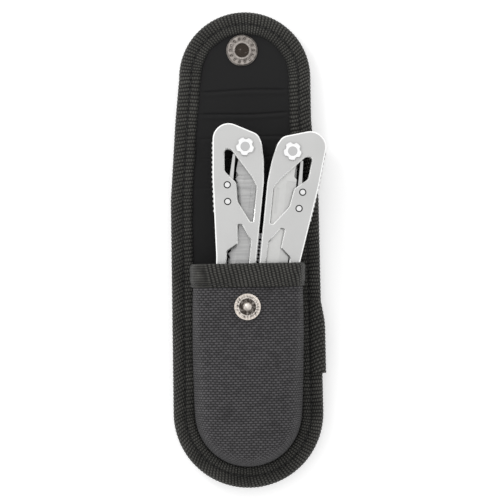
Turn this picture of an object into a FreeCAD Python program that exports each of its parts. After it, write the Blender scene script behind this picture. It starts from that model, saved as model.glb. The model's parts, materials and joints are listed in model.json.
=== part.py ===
import FreeCAD, Part
import math
import os

os.makedirs("parts", exist_ok=True)

# Folding plier multi tool in its nylon belt pouch. Millimetres, +Z up, +Y towards the flap.
# The origin is on the back of the belt loop, on the pouch's centre line.

# ---- pouch, heights above the surface that it lies on ----
LOOP_THICK = 1.5
BELT_GAP = 5.3
PANEL_Z = LOOP_THICK + BELT_GAP
PANEL_THICK = 1.6
LINING_THICK = 0.8
LINING_Z = PANEL_Z + PANEL_THICK
LINING_TOP = LINING_Z + LINING_THICK
TAPE_BELOW = 0.5
TAPE_ABOVE = 1.1
TAPE_TOP = LINING_TOP + TAPE_ABOVE

# ---- pouch, plan ----
POUCH_HALF_WIDTH = 30.0
FLAP_HALF_WIDTH = 27.2
BOTTOM_CENTRE_Y = -65.2
FLAP_END_X = 0.9
FLAP_END_Y = 68.9
FLAP_END_R = 26.3
FOLD_Y = 56.0
FOLD_GAP = 0.3
TAPE_WIDTH = 8.6
TAPE_WRAP = 0.8
MOUTH_Y = -6.0
POCKET_HALF_MOUTH = 23.2
POCKET_HALF_FOOT = 22.4
SHELL = 1.4
POCKET_ROUND = 5.0
MOUTH_TAPE = 8.6
MOUTH_TAPE_THICK = 0.9
LOOP_HALF_WIDTH = 19.0
LOOP_Y = (-60.0, 22.0)
LOOP_PAD = 10.0
STUD_X = 0.4
STUD_Y = -22.4
STUD_R = 5.2
SOCKET_Y = 79.9

# ---- multi tool, in its own frame: x across, y towards the tails, z from its middle ----
TOOL_ORIGIN = (8.46, 26.9)
TOOL_LEAN = 6.65
CAVITY_HALF = 6.0
PLATE_THICK = 1.2
PLATE_Z = CAVITY_HALF
PLATE_TOP = CAVITY_HALF + PLATE_THICK
STAR_HEIGHT = 1.0
TOOL_CLEAR = 0.8
TOOL_MID_Z = TAPE_TOP + TOOL_CLEAR + STAR_HEIGHT + PLATE_TOP
POCKET_CEILING = TOOL_MID_Z + PLATE_TOP + STAR_HEIGHT + 0.6
POCKET_TOP = POCKET_CEILING + SHELL

HEAD_PIVOT = (8.2, -72.5)
TAIL_PIVOT = (9.45, 13.1)
PLIER_PIVOT_Y = -57.0
HANDLE_ROUND = 7.5
EDGE_BEVEL = 0.45
TAIL_PIN_R = 2.0
HEAD_PIN_R = 2.5
SPACER_PIN_R = 1.0
PIN_GROOVE = 0.45
SPACER_PINS = ((15.0, -2.7), (14.2, -9.25), (12.9, -54.0))
FIXED_FIT = 0.02
RUNNING_FIT = 0.05
TANG_R = 4.0
STAR_R = 3.75
LANE_PITCH = 1.7
LEAF_THICK = 1.45
JIMP_PITCH = 1.9
JIMP_COUNT = 15
JIMP_START = -13.4
JIMP_R = 0.75
WEB_THICK = 2.2
HEAD_HALF_THICK = 4.9
JAW_HALF_THICK = 2.4
LAP_GAP = 0.05
LAP_R = 8.0
LAP_CLEAR_R = 8.3


def vec(x, y, z=0.0):
    return FreeCAD.Vector(x, y, z)


def rounded_wire(corners):
    """A closed wire through corners (x, y, radius), each corner turned by an arc of its radius."""
    stops = []
    for i, (x, y, radius) in enumerate(corners):
        corner = vec(x, y)
        before = vec(*corners[i - 1][:2]) - corner
        after = vec(*corners[(i + 1) % len(corners)][:2]) - corner
        before.normalize()
        after.normalize()
        half_angle = before.getAngle(after) / 2
        if radius == 0:
            stops.append((corner, corner, None))
            continue
        reach = radius / math.tan(half_angle)
        bisector = before + after
        bisector.normalize()
        middle = corner + bisector * (radius / math.sin(half_angle) - radius)
        stops.append((corner + before * reach, corner + after * reach, middle))
    edges = []
    for i, (start, end, middle) in enumerate(stops):
        if middle is not None:
            edges.append(Part.Arc(start, middle, end).toShape())
        following = stops[(i + 1) % len(stops)][0]
        if (following - end).Length > 1e-6:
            edges.append(Part.LineSegment(end, following).toShape())
    return Part.Wire(edges)


def prism(wire, z_low, z_high):
    solid = Part.Face(wire).extrude(vec(0, 0, z_high - z_low))
    solid.translate(vec(0, 0, z_low))
    return solid


def slab(x_low, x_high, y_low, y_high, z_low, z_high):
    return Part.makeBox(x_high - x_low, y_high - y_low, z_high - z_low, vec(x_low, y_low, z_low))


def rod(x, y, radius, z_low, z_high):
    return Part.makeCylinder(radius, z_high - z_low, vec(x, y, z_low))


def merged(first, *others):
    return first.multiFuse(list(others)).removeSplitter()


def mirrored(shape):
    return shape.mirror(vec(0, 0, 0), vec(1, 0, 0))


def bevel_at(shape, z, size):
    """Bevel every edge that lies flat at height z."""
    edges = [e for e in shape.Edges if abs(e.BoundBox.ZMin - z) < 1e-6 and abs(e.BoundBox.ZMax - z) < 1e-6]
    return shape.makeChamfer(size, edges)


# ---------------------------------------------------------------- pouch


def pouch_outline(inset):
    foot = POUCH_HALF_WIDTH - inset
    shoulder = POUCH_HALF_WIDTH - 0.4 - inset
    flap = FLAP_HALF_WIDTH - inset
    end = FLAP_END_R - inset
    right = [vec(foot, BOTTOM_CENTRE_Y), vec(shoulder, 20), vec(flap, 52), vec(FLAP_END_X + end, FLAP_END_Y)]
    left = [vec(FLAP_END_X - end, FLAP_END_Y), vec(-flap, 52), vec(-shoulder, 20), vec(-foot, BOTTOM_CENTRE_Y)]
    top = Part.Arc(right[-1], vec(FLAP_END_X, FLAP_END_Y + end), left[0]).toShape()
    bottom = Part.Arc(left[-1], vec(0, BOTTOM_CENTRE_Y - foot), right[0]).toShape()
    sides = [[Part.LineSegment(a, b).toShape() for a, b in zip(side, side[1:])] for side in (right, left)]
    return Part.Wire(sides[0] + [top] + sides[1] + [bottom])


def body_part(shape):
    return shape.common(slab(-50, 50, -110, FOLD_Y - FOLD_GAP / 2, -10, 60))


def flap_part(shape):
    return shape.common(slab(-50, 50, FOLD_Y + FOLD_GAP / 2, 110, -10, 60))


def sheet(z_low, thick):
    return prism(pouch_outline(TAPE_WRAP), z_low, z_low + thick)


def edge_tape():
    """Tape folded over the edge of the panel and lining all the way round."""
    band = prism(pouch_outline(0), PANEL_Z - TAPE_BELOW, TAPE_TOP)
    held = sheet(PANEL_Z, PANEL_THICK + LINING_THICK)
    open_middle = prism(pouch_outline(TAPE_WIDTH), 0, 40)
    return band.cut(held).cut(open_middle)


def tape_overlap():
    """The tape's end, lapped over its start on the right side and cut square."""
    strip = prism(pouch_outline(0), TAPE_TOP, TAPE_TOP + 0.6)
    return strip.common(slab(24.2, 40, -49.8, -15, 0, 40))


def belt_loop():
    low, high = LOOP_Y
    strap = slab(-LOOP_HALF_WIDTH, LOOP_HALF_WIDTH, low, high, 0, LOOP_THICK)
    foot = slab(-LOOP_HALF_WIDTH, LOOP_HALF_WIDTH, low, low + LOOP_THICK, 0, PANEL_Z)
    head = slab(-LOOP_HALF_WIDTH, LOOP_HALF_WIDTH, high - LOOP_THICK, high, 0, PANEL_Z)
    pad_z = PANEL_Z - LOOP_THICK
    low_pad = slab(-LOOP_HALF_WIDTH, LOOP_HALF_WIDTH, low - LOOP_PAD, low, pad_z, PANEL_Z)
    high_pad = slab(-LOOP_HALF_WIDTH, LOOP_HALF_WIDTH, high, high + LOOP_PAD, pad_z, PANEL_Z)
    return merged(strap, foot, head, low_pad, high_pad)


def pocket_block(inset, mouth_y, z_low, z_high, radius):
    """The pocket's solid shape, rounded along its top edge except at the mouth."""
    mouth = POCKET_HALF_MOUTH - inset
    foot = POCKET_HALF_FOOT - inset
    left_foot = vec(-foot, BOTTOM_CENTRE_Y)
    right_foot = vec(foot, BOTTOM_CENTRE_Y)
    edges = [
        Part.LineSegment(vec(-mouth, mouth_y), left_foot).toShape(),
        Part.Arc(left_foot, vec(0, BOTTOM_CENTRE_Y - foot), right_foot).toShape(),
        Part.LineSegment(right_foot, vec(mouth, mouth_y)).toShape(),
        Part.LineSegment(vec(mouth, mouth_y), vec(-mouth, mouth_y)).toShape(),
    ]
    block = prism(Part.Wire(edges), z_low, z_high)
    top = [e for e in block.Edges if e.BoundBox.ZMin > z_high - 1e-6 and e.BoundBox.YMin < mouth_y - 1]
    return block.makeFillet(radius, top)


def pocket_outside(grow=0.0):
    return pocket_block(-grow, MOUTH_Y, TAPE_TOP, POCKET_TOP + grow, POCKET_ROUND + grow)


def pocket_inside():
    return pocket_block(SHELL, MOUTH_Y + 2, TAPE_TOP - 1, POCKET_CEILING, POCKET_ROUND - SHELL)


def pocket_front():
    shell = pocket_outside().cut(pocket_inside())
    return shell.cut(rod(STUD_X, STUD_Y, 1.8, POCKET_CEILING - 1, POCKET_TOP + 1))


def mouth_tape():
    """Tape folded over the lip of the mouth."""
    mouth_end = MOUTH_Y + MOUTH_TAPE_THICK
    block = pocket_block(-MOUTH_TAPE_THICK, mouth_end, TAPE_TOP, POCKET_TOP + MOUTH_TAPE_THICK,
                         POCKET_ROUND + MOUTH_TAPE_THICK)
    band = block.common(slab(-40, 40, MOUTH_Y - MOUTH_TAPE, mouth_end, 0, 60))
    return band.cut(pocket_outside()).cut(pocket_inside())


def snap_stud():
    ring = rod(STUD_X, STUD_Y, STUD_R, POCKET_TOP, POCKET_TOP + 1.4)
    ring = ring.cut(rod(STUD_X, STUD_Y, 3.4, POCKET_TOP + 0.7, POCKET_TOP + 2))
    grooves = []
    for i in range(24):
        groove = Part.makeCylinder(0.32, 1.6, vec(3.9, 0, POCKET_TOP + 1.4), vec(1, 0, 0))
        groove.rotate(vec(0, 0, 0), vec(0, 0, 1), i * 15)
        groove.translate(vec(STUD_X, STUD_Y, 0))
        grooves.append(groove)
    ring = ring.cut(Part.Compound(grooves))
    neck = rod(STUD_X, STUD_Y, 1.75, POCKET_CEILING, POCKET_TOP + 1.4)
    ball = Part.makeSphere(2.0, vec(STUD_X, STUD_Y, POCKET_TOP + 1.4))
    return merged(ring, neck, ball)


def snap_backing():
    return bevel_at(rod(STUD_X, STUD_Y, 4.5, POCKET_CEILING - 0.45, POCKET_CEILING), POCKET_CEILING - 0.45, 0.2)


def snap_socket():
    disc = rod(0, SOCKET_Y, 6.25, LINING_TOP, LINING_TOP + 1.2)
    disc = bevel_at(disc, LINING_TOP + 1.2, 0.6)
    collar = rod(0, SOCKET_Y, 3.8, LINING_TOP + 1.0, LINING_TOP + 1.6)
    collar = bevel_at(collar, LINING_TOP + 1.6, 0.25)
    well = rod(0, SOCKET_Y, 2.9, LINING_TOP + 0.4, LINING_TOP + 4)
    dimples = []
    for i in range(14):
        angle = math.radians(i * 360 / 14)
        centre = vec(4.75 * math.cos(angle), SOCKET_Y + 4.75 * math.sin(angle), LINING_TOP + 1.7)
        dimples.append(Part.makeSphere(0.75, centre))
    return merged(disc, collar).cut(well).cut(Part.Compound(dimples))


def snap_cap():
    dome = bevel_at(rod(0, SOCKET_Y, 6.0, PANEL_Z - 1.2, PANEL_Z), PANEL_Z - 1.2, 0.8)
    shank = rod(0, SOCKET_Y, 1.6, PANEL_Z, LINING_TOP)
    return merged(dome, shank)


def snap_hole(shape):
    return shape.cut(rod(0, SOCKET_Y, 1.6, 0, 40))


def pouch_nodes():
    tape = edge_tape()
    panel = sheet(PANEL_Z, PANEL_THICK)
    lining = sheet(LINING_Z, LINING_THICK)
    return {
        "belt_loop": belt_loop(),
        "back_panel": body_part(panel),
        "back_lining": body_part(lining),
        "body_binding": body_part(tape),
        "binding_overlap": tape_overlap(),
        "pocket_front": pocket_front(),
        "mouth_binding": mouth_tape(),
        "snap_stud": snap_stud(),
        "snap_backing": snap_backing(),
        "flap_panel": snap_hole(flap_part(panel)),
        "flap_lining": snap_hole(flap_part(lining)),
        "flap_binding": flap_part(tape),
        "snap_cap": snap_cap(),
        "snap_socket": snap_socket(),
    }


# ---------------------------------------------------------------- handles


def plate_outline():
    head_x, head_y = HEAD_PIVOT
    inner_x = head_x - HANDLE_ROUND
    outer_x = head_x + HANDLE_ROUND
    end_y = head_y - HANDLE_ROUND
    nearly_half = HANDLE_ROUND - 0.1
    corners = [
        (inner_x, end_y, nearly_half), (outer_x, end_y, nearly_half), (16.3, -33, 40), (21.1, 0, 60),
        (23.4, 24.1, 6.3), (5.0, 18.5, 4), (3.1, 15.3, 6), (1.6, 8.6, 20), (inner_x, 0, 20),
    ]
    return rounded_wire(corners)


def upper_window():
    corners = [
        (17.6, 11.6, 1.2), (14.8, 11.3, 1.5), (5.7, 1.4, 3), (3.4, -2.2, 2), (3.4, -16.4, 0.5),
        (4.6, -16.2, 0.6), (10.3, -8.8, 4), (11.5, -1.6, 2), (16.6, 2.6, 2),
    ]
    return rounded_wire(corners)


def lower_window():
    corners = [
        (9.4, -18.0, 0.7), (7.6, -18.0, 0.5), (3.5, -24.0, 1.5), (3.5, -47.5, 1.5), (9.0, -49.5, 2),
        (11.6, -45.0, 2), (12.5, -29.0, 1.6), (8.5, -25.6, 1),
    ]
    return rounded_wire(corners)


def handle_plate():
    """The upper side plate of the right handle, lying above the cavity."""
    plate = prism(plate_outline(), PLATE_Z, PLATE_TOP)
    for window in (upper_window(), lower_window()):
        plate = plate.cut(prism(window, 0, 20))
    plate = bevel_at(plate, PLATE_TOP, EDGE_BEVEL)
    plate = plate.cut(rod(*TAIL_PIVOT, TAIL_PIN_R + FIXED_FIT, 0, 20))
    plate = plate.cut(rod(*HEAD_PIVOT, HEAD_PIN_R + FIXED_FIT, 0, 20))
    for x, y in SPACER_PINS:
        plate = plate.cut(rod(x, y, SPACER_PIN_R + FIXED_FIT, 0, 20))
        plate = plate.cut(rod(x, y, SPACER_PIN_R + PIN_GROOVE, PLATE_TOP - 0.5, 20))
    return plate


def outer_edge_x(y):
    """The plate's outer edge at y, along its three straight stretches."""
    if y < -33:
        return 15.9 + (16.3 - 15.9) * (y + 55) / 22
    if y < 0:
        return 16.3 + (21.1 - 16.3) * (y + 33) / 33
    return 21.1 + (23.4 - 21.1) * y / 24.1


def back_spacer():
    """The web between the plates, with its thumb ridges and its spring finger."""
    skin = 0.35
    line = [(outer_edge_x(y) - skin, y) for y in (-58.0, -33.0, 0.0, 14.5)]
    web = [(x, y, 0) for x, y in line] + [(x - WEB_THICK, y, 0) for x, y in reversed(line)]
    strip = prism(rounded_wire(web), -CAVITY_HALF, CAVITY_HALF)
    block = [
        (12.7, -12.0, 1), (12.9, 1.0, 0.3), (13.0, 9.6, 0.3), (14.0, 9.8, 0.3), (14.4, 0.6, 0.6),
        (20.2, 0.6, 0), (18.3, -14.0, 1),
    ]
    finger = prism(rounded_wire(block), -CAVITY_HALF, CAVITY_HALF)
    boss = [(11.4, -56, 0.5), (11.4, -52, 1), (15, -50, 0), (15, -58, 0)]
    head_boss = prism(rounded_wire(boss), -CAVITY_HALF, CAVITY_HALF)
    ridges = []
    for i in range(JIMP_COUNT):
        y = JIMP_START + i * JIMP_PITCH
        ridges.append(rod(outer_edge_x(y) - 0.35, y, JIMP_R, -CAVITY_HALF, CAVITY_HALF))
    spacer = merged(strip, finger, head_boss, *ridges)
    for x, y in SPACER_PINS:
        spacer = spacer.cut(rod(x, y, SPACER_PIN_R + FIXED_FIT, -20, 20))
    return spacer


def star_cap():
    x, y = TAIL_PIVOT
    lobe_top = PLATE_TOP + STAR_HEIGHT - 0.15
    star = bevel_at(rod(x, y, STAR_R, PLATE_TOP, lobe_top), lobe_top, 0.3)
    for i in range(5):
        angle = math.radians(18 + i * 72)
        star = star.cut(rod(x + 4.0 * math.cos(angle), y + 4.0 * math.sin(angle), 1.15, 0, 20))
    centre = bevel_at(rod(x, y, 1.85, PLATE_TOP, PLATE_TOP + STAR_HEIGHT), PLATE_TOP + STAR_HEIGHT, 0.12)
    return merged(star, centre)


def both_sides(shape):
    """The shape and its mirror image on the tool's other face, as separate solids."""
    return Part.Compound([shape, shape.mirror(vec(0, 0, 0), vec(0, 0, 1))])


def pin_head(x, y, radius):
    head = rod(x, y, radius, PLATE_TOP, PLATE_TOP + 0.8)
    return bevel_at(head, PLATE_TOP + 0.8, 0.3)


def head_pin():
    shaft = rod(*HEAD_PIVOT, HEAD_PIN_R, -PLATE_TOP, PLATE_TOP)
    low = pin_head(*HEAD_PIVOT, HEAD_PIN_R + 1.5)
    return merged(shaft, low, low.mirror(vec(0, 0, 0), vec(0, 0, 1)))


def spacer_pins():
    return Part.Compound([rod(x, y, SPACER_PIN_R, -PLATE_TOP, PLATE_TOP) for x, y in SPACER_PINS])


def tail_pin():
    return rod(*TAIL_PIVOT, TAIL_PIN_R, -PLATE_TOP, PLATE_TOP)


def lane_z(lane):
    return lane * LANE_PITCH


def washers(lanes):
    """Rings on the tail pin that fill the lanes in which this handle has no implement."""
    rings = []
    for lane in lanes:
        middle = lane_z(lane)
        ring = rod(*TAIL_PIVOT, 3.6, middle - LEAF_THICK / 2, middle + LEAF_THICK / 2)
        rings.append(ring.cut(rod(*TAIL_PIVOT, TAIL_PIN_R + FIXED_FIT, -20, 20)))
    return Part.Compound(rings)


def handle_nodes(side, place, empty_lanes):
    plate = handle_plate()
    return {
        side + "_front_plate": place(plate),
        side + "_rear_plate": place(plate.mirror(vec(0, 0, 0), vec(0, 0, 1))),
        side + "_back_spacer": place(back_spacer()),
        side + "_spacer_pins": place(spacer_pins()),
        side + "_tail_pin": place(tail_pin()),
        side + "_star_caps": place(both_sides(star_cap())),
        side + "_washers": place(washers(empty_lanes)),
        side + "_head_pin": place(head_pin()),
    }


# ---------------------------------------------------------------- pliers


def plier_half():
    """The half whose tang is on the left and whose jaw is on the right, lapped below the other."""
    low, high = -HEAD_HALF_THICK, HEAD_HALF_THICK
    pivot_x, pivot_y = -HEAD_PIVOT[0], HEAD_PIVOT[1]
    arm_shape = [(-13.0, -74.0, 1), (-9.5, -60.0, 3), (-3.0, -60.0, 1), (-0.8, -66.0, 3), (-4.0, -75.5, 1)]
    arm = prism(rounded_wire(arm_shape), low, high)
    boss = rod(pivot_x, pivot_y, 5.2, low, high)
    jaw_shape = [
        (0.15, -52.0, 0), (7.7, -52.0, 0), (6.6, -44.0, 8), (3.3, -27.0, 8), (2.1, -20.8, 1),
        (0.15, -20.2, 0.3),
    ]
    jaw = prism(rounded_wire(jaw_shape), -JAW_HALF_THICK, JAW_HALF_THICK)
    root_shape = [(2.0, -56.0, 0), (8.2, -56.0, 0), (8.4, -50.0, 1), (0.15, -48.0, 0.5), (0.15, -54.0, 0)]
    root = prism(rounded_wire(root_shape), -JAW_HALF_THICK, JAW_HALF_THICK)
    outside = merged(arm, boss, jaw, root)
    outside = outside.cut(rod(0, PLIER_PIVOT_Y, LAP_CLEAR_R, -LAP_GAP, high + 1))
    lap = rod(0, PLIER_PIVOT_Y, LAP_R, low, -LAP_GAP)
    half = merged(outside, lap)
    teeth = []
    for i in range(13):
        tooth = slab(-0.45, 0.45, -0.45, 0.45, -6, 6)
        tooth.rotate(vec(0, 0, 0), vec(0, 0, 1), 45)
        tooth.translate(vec(0, -23.0 - i * 1.5, 0))
        teeth.append(tooth)
    half = half.cut(Part.Compound(teeth))
    half = half.cut(rod(pivot_x, pivot_y, HEAD_PIN_R + RUNNING_FIT, -20, 20))
    return half.cut(rod(0, PLIER_PIVOT_Y, 3.0 + FIXED_FIT, -20, 20))


def other_half(half):
    turned = half.copy()
    turned.rotate(vec(0, 0, 0), vec(0, 1, 0), 180)
    return turned.cut(rod(0, PLIER_PIVOT_Y, 3.0 + RUNNING_FIT, -20, 20))


def plier_rivet():
    """The rivet's foot is seated on the half that carries it; its head clears the turning half."""
    seat = HEAD_HALF_THICK
    low = HEAD_HALF_THICK + 0.05
    high = low + 0.8
    shaft = rod(0, PLIER_PIVOT_Y, 3.0, -seat, low)
    head = bevel_at(rod(0, PLIER_PIVOT_Y, 4.4, low, high), high, 0.3)
    foot = bevel_at(rod(0, PLIER_PIVOT_Y, 4.4, seat, seat + 0.8), seat + 0.8, 0.3)
    return merged(shaft, head, foot.mirror(vec(0, 0, 0), vec(0, 0, 1)))


# ---------------------------------------------------------------- implements
# Each is drawn for the right handle, shut: its pivot at (0, 0), its point towards -y, its edge towards +x.

SPINE_X = -5.9
EDGE_X = 2.7
BACK_NECK = (-3.9, 0, 0)
FRONT_NECK = (2.0, -3.2, 0)


def implement(lane, outline_points, *cuts):
    """A leaf of steel in its lane, with its tang and the bore for the tail pin."""
    low = lane_z(lane) - LEAF_THICK / 2
    high = lane_z(lane) + LEAF_THICK / 2
    leaf = prism(rounded_wire(outline_points), low, high)
    leaf = merged(leaf, rod(0, 0, TANG_R, low, high))
    for cut in cuts:
        cut = cut.copy()
        cut.translate(vec(0, 0, lane_z(lane)))
        leaf = leaf.cut(cut)
    leaf = leaf.cut(rod(0, 0, TAIL_PIN_R + RUNNING_FIT, -20, 20))
    leaf.translate(vec(*TAIL_PIVOT))
    return leaf


def grind(start_x, edge_x, y_low, y_high, edge_half=0.12):
    """Two wedges that grind a flat bevel on both faces of a cutting edge."""
    half = LEAF_THICK / 2
    slope = (half - edge_half) / (edge_x - start_x)
    beyond = edge_x + 1
    beyond_z = edge_half - slope
    face = Part.Face(Part.makePolygon([vec(start_x, y_low, half), vec(beyond, y_low, beyond_z),
                                       vec(beyond, y_low, half + 1), vec(start_x, y_low, half + 1),
                                       vec(start_x, y_low, half)]))
    upper = face.extrude(vec(0, y_high - y_low, 0))
    return Part.Compound([upper, upper.mirror(vec(0, 0, 0), vec(0, 0, 1))])


def nail_nick(y_middle):
    slot = slab(SPINE_X + 1.1, SPINE_X + 2.1, y_middle - 5, y_middle + 5, 0.35, 2)
    return slot


def tip_taper(length, reach):
    """Wedges that thin a screwdriver's last stretch."""
    half = LEAF_THICK / 2
    face = Part.Face(Part.makePolygon([vec(-9, -length + reach, half), vec(-9, -length - 1, 0.3),
                                       vec(-9, -length - 1, half + 1), vec(-9, -length + reach, half)]))
    upper = face.extrude(vec(18, 0, 0))
    return Part.Compound([upper, upper.mirror(vec(0, 0, 0), vec(0, 0, 1))])


def knife_blade(lane):
    outline = [
        BACK_NECK, (SPINE_X, -7, 3), (SPINE_X, -45, 20), (-2.4, -59.5, 0.4), (1.9, -50, 12),
        (EDGE_X, -40, 20), (EDGE_X, -11, 0.5), (1.6, -10, 0.5), FRONT_NECK,
    ]
    return implement(lane, outline, grind(-1.2, EDGE_X, -62, -12), nail_nick(-20))


def serrated_blade(lane):
    teeth = []
    for i in range(14):
        y = -52.0 + i * 3.0
        teeth.append((EDGE_X - 0.1, y, 0))
        teeth.append((EDGE_X - 1.3, y + 1.5, 0.5))
    outline = [BACK_NECK, (SPINE_X, -7, 3), (SPINE_X, -46, 20), (-1.0, -59.0, 0.8)] + teeth
    outline += [(EDGE_X - 0.1, -10, 0), FRONT_NECK]
    return implement(lane, outline, grind(-0.6, EDGE_X, -62, -11.5), nail_nick(-20))


def wood_saw(lane):
    teeth = []
    for i in range(21):
        y = -56.0 + i * 2.2
        teeth.append((EDGE_X, y, 0))
        teeth.append((EDGE_X - 1.4, y + 1.1, 0))
    outline = [BACK_NECK, (SPINE_X + 0.6, -7, 3), (-4.2, -57.5, 1)] + teeth + [(EDGE_X, -9.6, 0), FRONT_NECK]
    return implement(lane, outline, nail_nick(-20))


def file_blade(lane):
    outline = [
        BACK_NECK, (SPINE_X + 0.4, -7, 3), (SPINE_X + 0.4, -52, 3), (-2.9, -57.5, 0.8), (0.9, -57.5, 0.8),
        (EDGE_X - 0.4, -52, 3), (EDGE_X - 0.4, -9, 1), FRONT_NECK,
    ]
    grooves = []
    for i in range(26):
        groove = slab(SPINE_X + 1.4, EDGE_X - 1.2, -0.2, 0.2, LEAF_THICK / 2 - 0.12, LEAF_THICK)
        groove.translate(vec(0, -14.5 - i * 1.45, 0))
        grooves.append(groove)
    return implement(lane, outline, Part.Compound(grooves))


def can_opener(lane):
    outline = [
        BACK_NECK, (-4.8, -8, 3), (-4.4, -18, 3), (-1.2, -25.5, 0.4), (1.0, -21.5, 0.8), (-1.6, -17.2, 1.2),
        (0.6, -13.4, 0.5), (2.4, -12.0, 0.6), (2.4, -7, 2), FRONT_NECK,
    ]
    return implement(lane, outline)


def bottle_opener(lane):
    outline = [
        BACK_NECK, (-4.9, -8, 3), (-4.9, -21, 3), (-2.0, -26.0, 1), (2.2, -24.6, 0.9), (2.2, -20.6, 0.9),
        (-1.9, -19.4, 1.4), (-1.2, -14.6, 1.5), (2.5, -12.4, 1), (2.5, -7, 2), FRONT_NECK,
    ]
    return implement(lane, outline)


def flat_driver(lane, length, tip_half):
    left, right = -1.0 - tip_half, -1.0 + tip_half
    outline = [
        BACK_NECK, (-3.6, -8, 3), (left, -length + 5, 1), (left, -length, 0.1), (right, -length, 0.1),
        (right, -length + 5, 1), (1.9, -8, 3), FRONT_NECK,
    ]
    return implement(lane, outline, tip_taper(length, 6.0))


def phillips_driver(lane):
    outline = [
        BACK_NECK, (-3.8, -8, 3), (-3.5, -19, 1), (-1.6, -24.6, 0.2), (-0.4, -24.6, 0.2), (1.5, -19, 1),
        (1.8, -8, 3), FRONT_NECK,
    ]
    notch = slab(-1.15, -0.85, -26, -20.5, -2, 2)
    return implement(lane, outline, notch)


def awl(lane):
    outline = [
        BACK_NECK, (-3.8, -8, 3), (-3.0, -15, 2), (-1.0, -27.0, 0.1), (1.0, -15, 2), (1.9, -8, 3), FRONT_NECK,
    ]
    return implement(lane, outline, grind(-0.9, 1.4, -28, -14))


# ---------------------------------------------------------------- assembly


def in_pouch(shape):
    """Move a shape from the tool's frame to where the tool lies in the pouch."""
    placed = shape.copy()
    placed.rotate(vec(0, 0, 0), vec(0, 0, 1), -TOOL_LEAN)
    placed.translate(vec(TOOL_ORIGIN[0], TOOL_ORIGIN[1], TOOL_MID_Z))
    return placed


def on_left(shape):
    return in_pouch(mirrored(shape))


def tool_nodes():
    half = plier_half()
    nodes = {
        "plier_half_left": in_pouch(half),
        "plier_half_right": in_pouch(other_half(half)),
        "plier_rivet": in_pouch(plier_rivet()),
        "wood_saw": on_left(wood_saw(-3)),
        "serrated_blade": on_left(serrated_blade(2)),
        "can_opener": on_left(can_opener(-1)),
        "medium_driver": on_left(flat_driver(0, 24.0, 2.0)),
        "phillips_driver": on_left(phillips_driver(1)),
        "file_blade": in_pouch(file_blade(-2)),
        "knife_blade": in_pouch(knife_blade(3)),
        "bottle_opener": in_pouch(bottle_opener(-1)),
        "large_driver": in_pouch(flat_driver(0, 25.5, 2.7)),
        "awl": in_pouch(awl(1)),
    }
    nodes.update(handle_nodes("left", on_left, (-2, 3)))
    nodes.update(handle_nodes("right", in_pouch, (-3, 2)))
    return nodes


def main():
    nodes = pouch_nodes()
    nodes.update(tool_nodes())
    for name, shape in nodes.items():
        shape.exportStep("parts/" + name + ".step")
        state = "ok" if shape.isValid() else "NOT VALID"
        print(f"{name:20s} {len(shape.Solids)} solids {shape.Volume / 1000:8.3f} cm3 {state}")


main()
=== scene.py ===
import json
import math
import random

import bpy
import numpy as np
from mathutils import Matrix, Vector


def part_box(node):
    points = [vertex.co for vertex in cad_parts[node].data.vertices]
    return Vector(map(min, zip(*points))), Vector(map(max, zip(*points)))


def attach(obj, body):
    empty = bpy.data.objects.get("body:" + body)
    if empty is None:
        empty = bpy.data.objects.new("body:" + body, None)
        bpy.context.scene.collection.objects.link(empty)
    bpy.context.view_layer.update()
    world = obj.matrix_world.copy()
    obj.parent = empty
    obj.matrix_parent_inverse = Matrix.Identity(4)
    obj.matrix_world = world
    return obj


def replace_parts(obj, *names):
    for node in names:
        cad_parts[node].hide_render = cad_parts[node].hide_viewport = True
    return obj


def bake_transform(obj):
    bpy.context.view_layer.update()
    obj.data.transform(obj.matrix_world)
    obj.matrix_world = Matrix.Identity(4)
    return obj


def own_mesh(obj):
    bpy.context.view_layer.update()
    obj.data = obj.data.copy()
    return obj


# The multi tool in its belt pouch, lying on its back. Metres, in the CAD model's frame: +Y towards the flap,
# +Z up out of the pocket's front.

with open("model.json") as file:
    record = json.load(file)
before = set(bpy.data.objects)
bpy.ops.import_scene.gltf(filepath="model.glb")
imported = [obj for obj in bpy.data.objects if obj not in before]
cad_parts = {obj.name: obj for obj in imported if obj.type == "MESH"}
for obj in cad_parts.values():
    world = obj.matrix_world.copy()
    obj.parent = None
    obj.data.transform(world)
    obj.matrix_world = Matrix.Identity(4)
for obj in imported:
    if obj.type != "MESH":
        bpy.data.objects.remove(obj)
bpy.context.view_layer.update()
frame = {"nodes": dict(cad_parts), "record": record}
random.seed(7)

MM = 0.001

# ---------------------------------------------------------------- sizes that come from the CAD model

tape_low, tape_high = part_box("body_binding")
_, flap_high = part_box("flap_binding")
panel_low, panel_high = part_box("back_panel")
lining_low, lining_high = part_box("back_lining")
pocket_low, pocket_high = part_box("pocket_front")
overlap_low, overlap_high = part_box("binding_overlap")
loop_low, loop_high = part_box("belt_loop")
_, plate_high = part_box("left_front_plate")
rear_low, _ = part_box("left_rear_plate")
stud_low, stud_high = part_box("snap_stud")

FOOT_HALF = tape_high.x
FOOT_CENTRE_Y = tape_low.y + FOOT_HALF
FLAP_HALF = flap_high.x
FLAP_END_X = 0.9 * MM
FLAP_END_R = FLAP_HALF - FLAP_END_X
FLAP_END_Y = flap_high.y - FLAP_END_R
SHOULDER = (FOOT_HALF - 0.4 * MM, 20 * MM)
FLAP_START_Y = tape_high.y - 4 * MM
TAPE_TOP = tape_high.z
TAPE_BOTTOM = tape_low.z
STUD_X = (stud_low.x + stud_high.x) / 2
STUD_Y = (stud_low.y + stud_high.y) / 2

TOOL_MIDDLE_Z = (rear_low.z + plate_high.z) / 2
TOOL_LEAN = math.radians(6.65)
# Two levels on the tool, as distances from its middle plane: the floor of the spacer pins' grooves, which the
# plates' material paints near black as painted shade, and the top of the star caps' lobes.
PIN_GROOVE_FLOOR = plate_high.z - TOOL_MIDDLE_Z - 0.5 * MM
STAR_LOBE_TOP = plate_high.z - TOOL_MIDDLE_Z + 0.92 * MM

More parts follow.
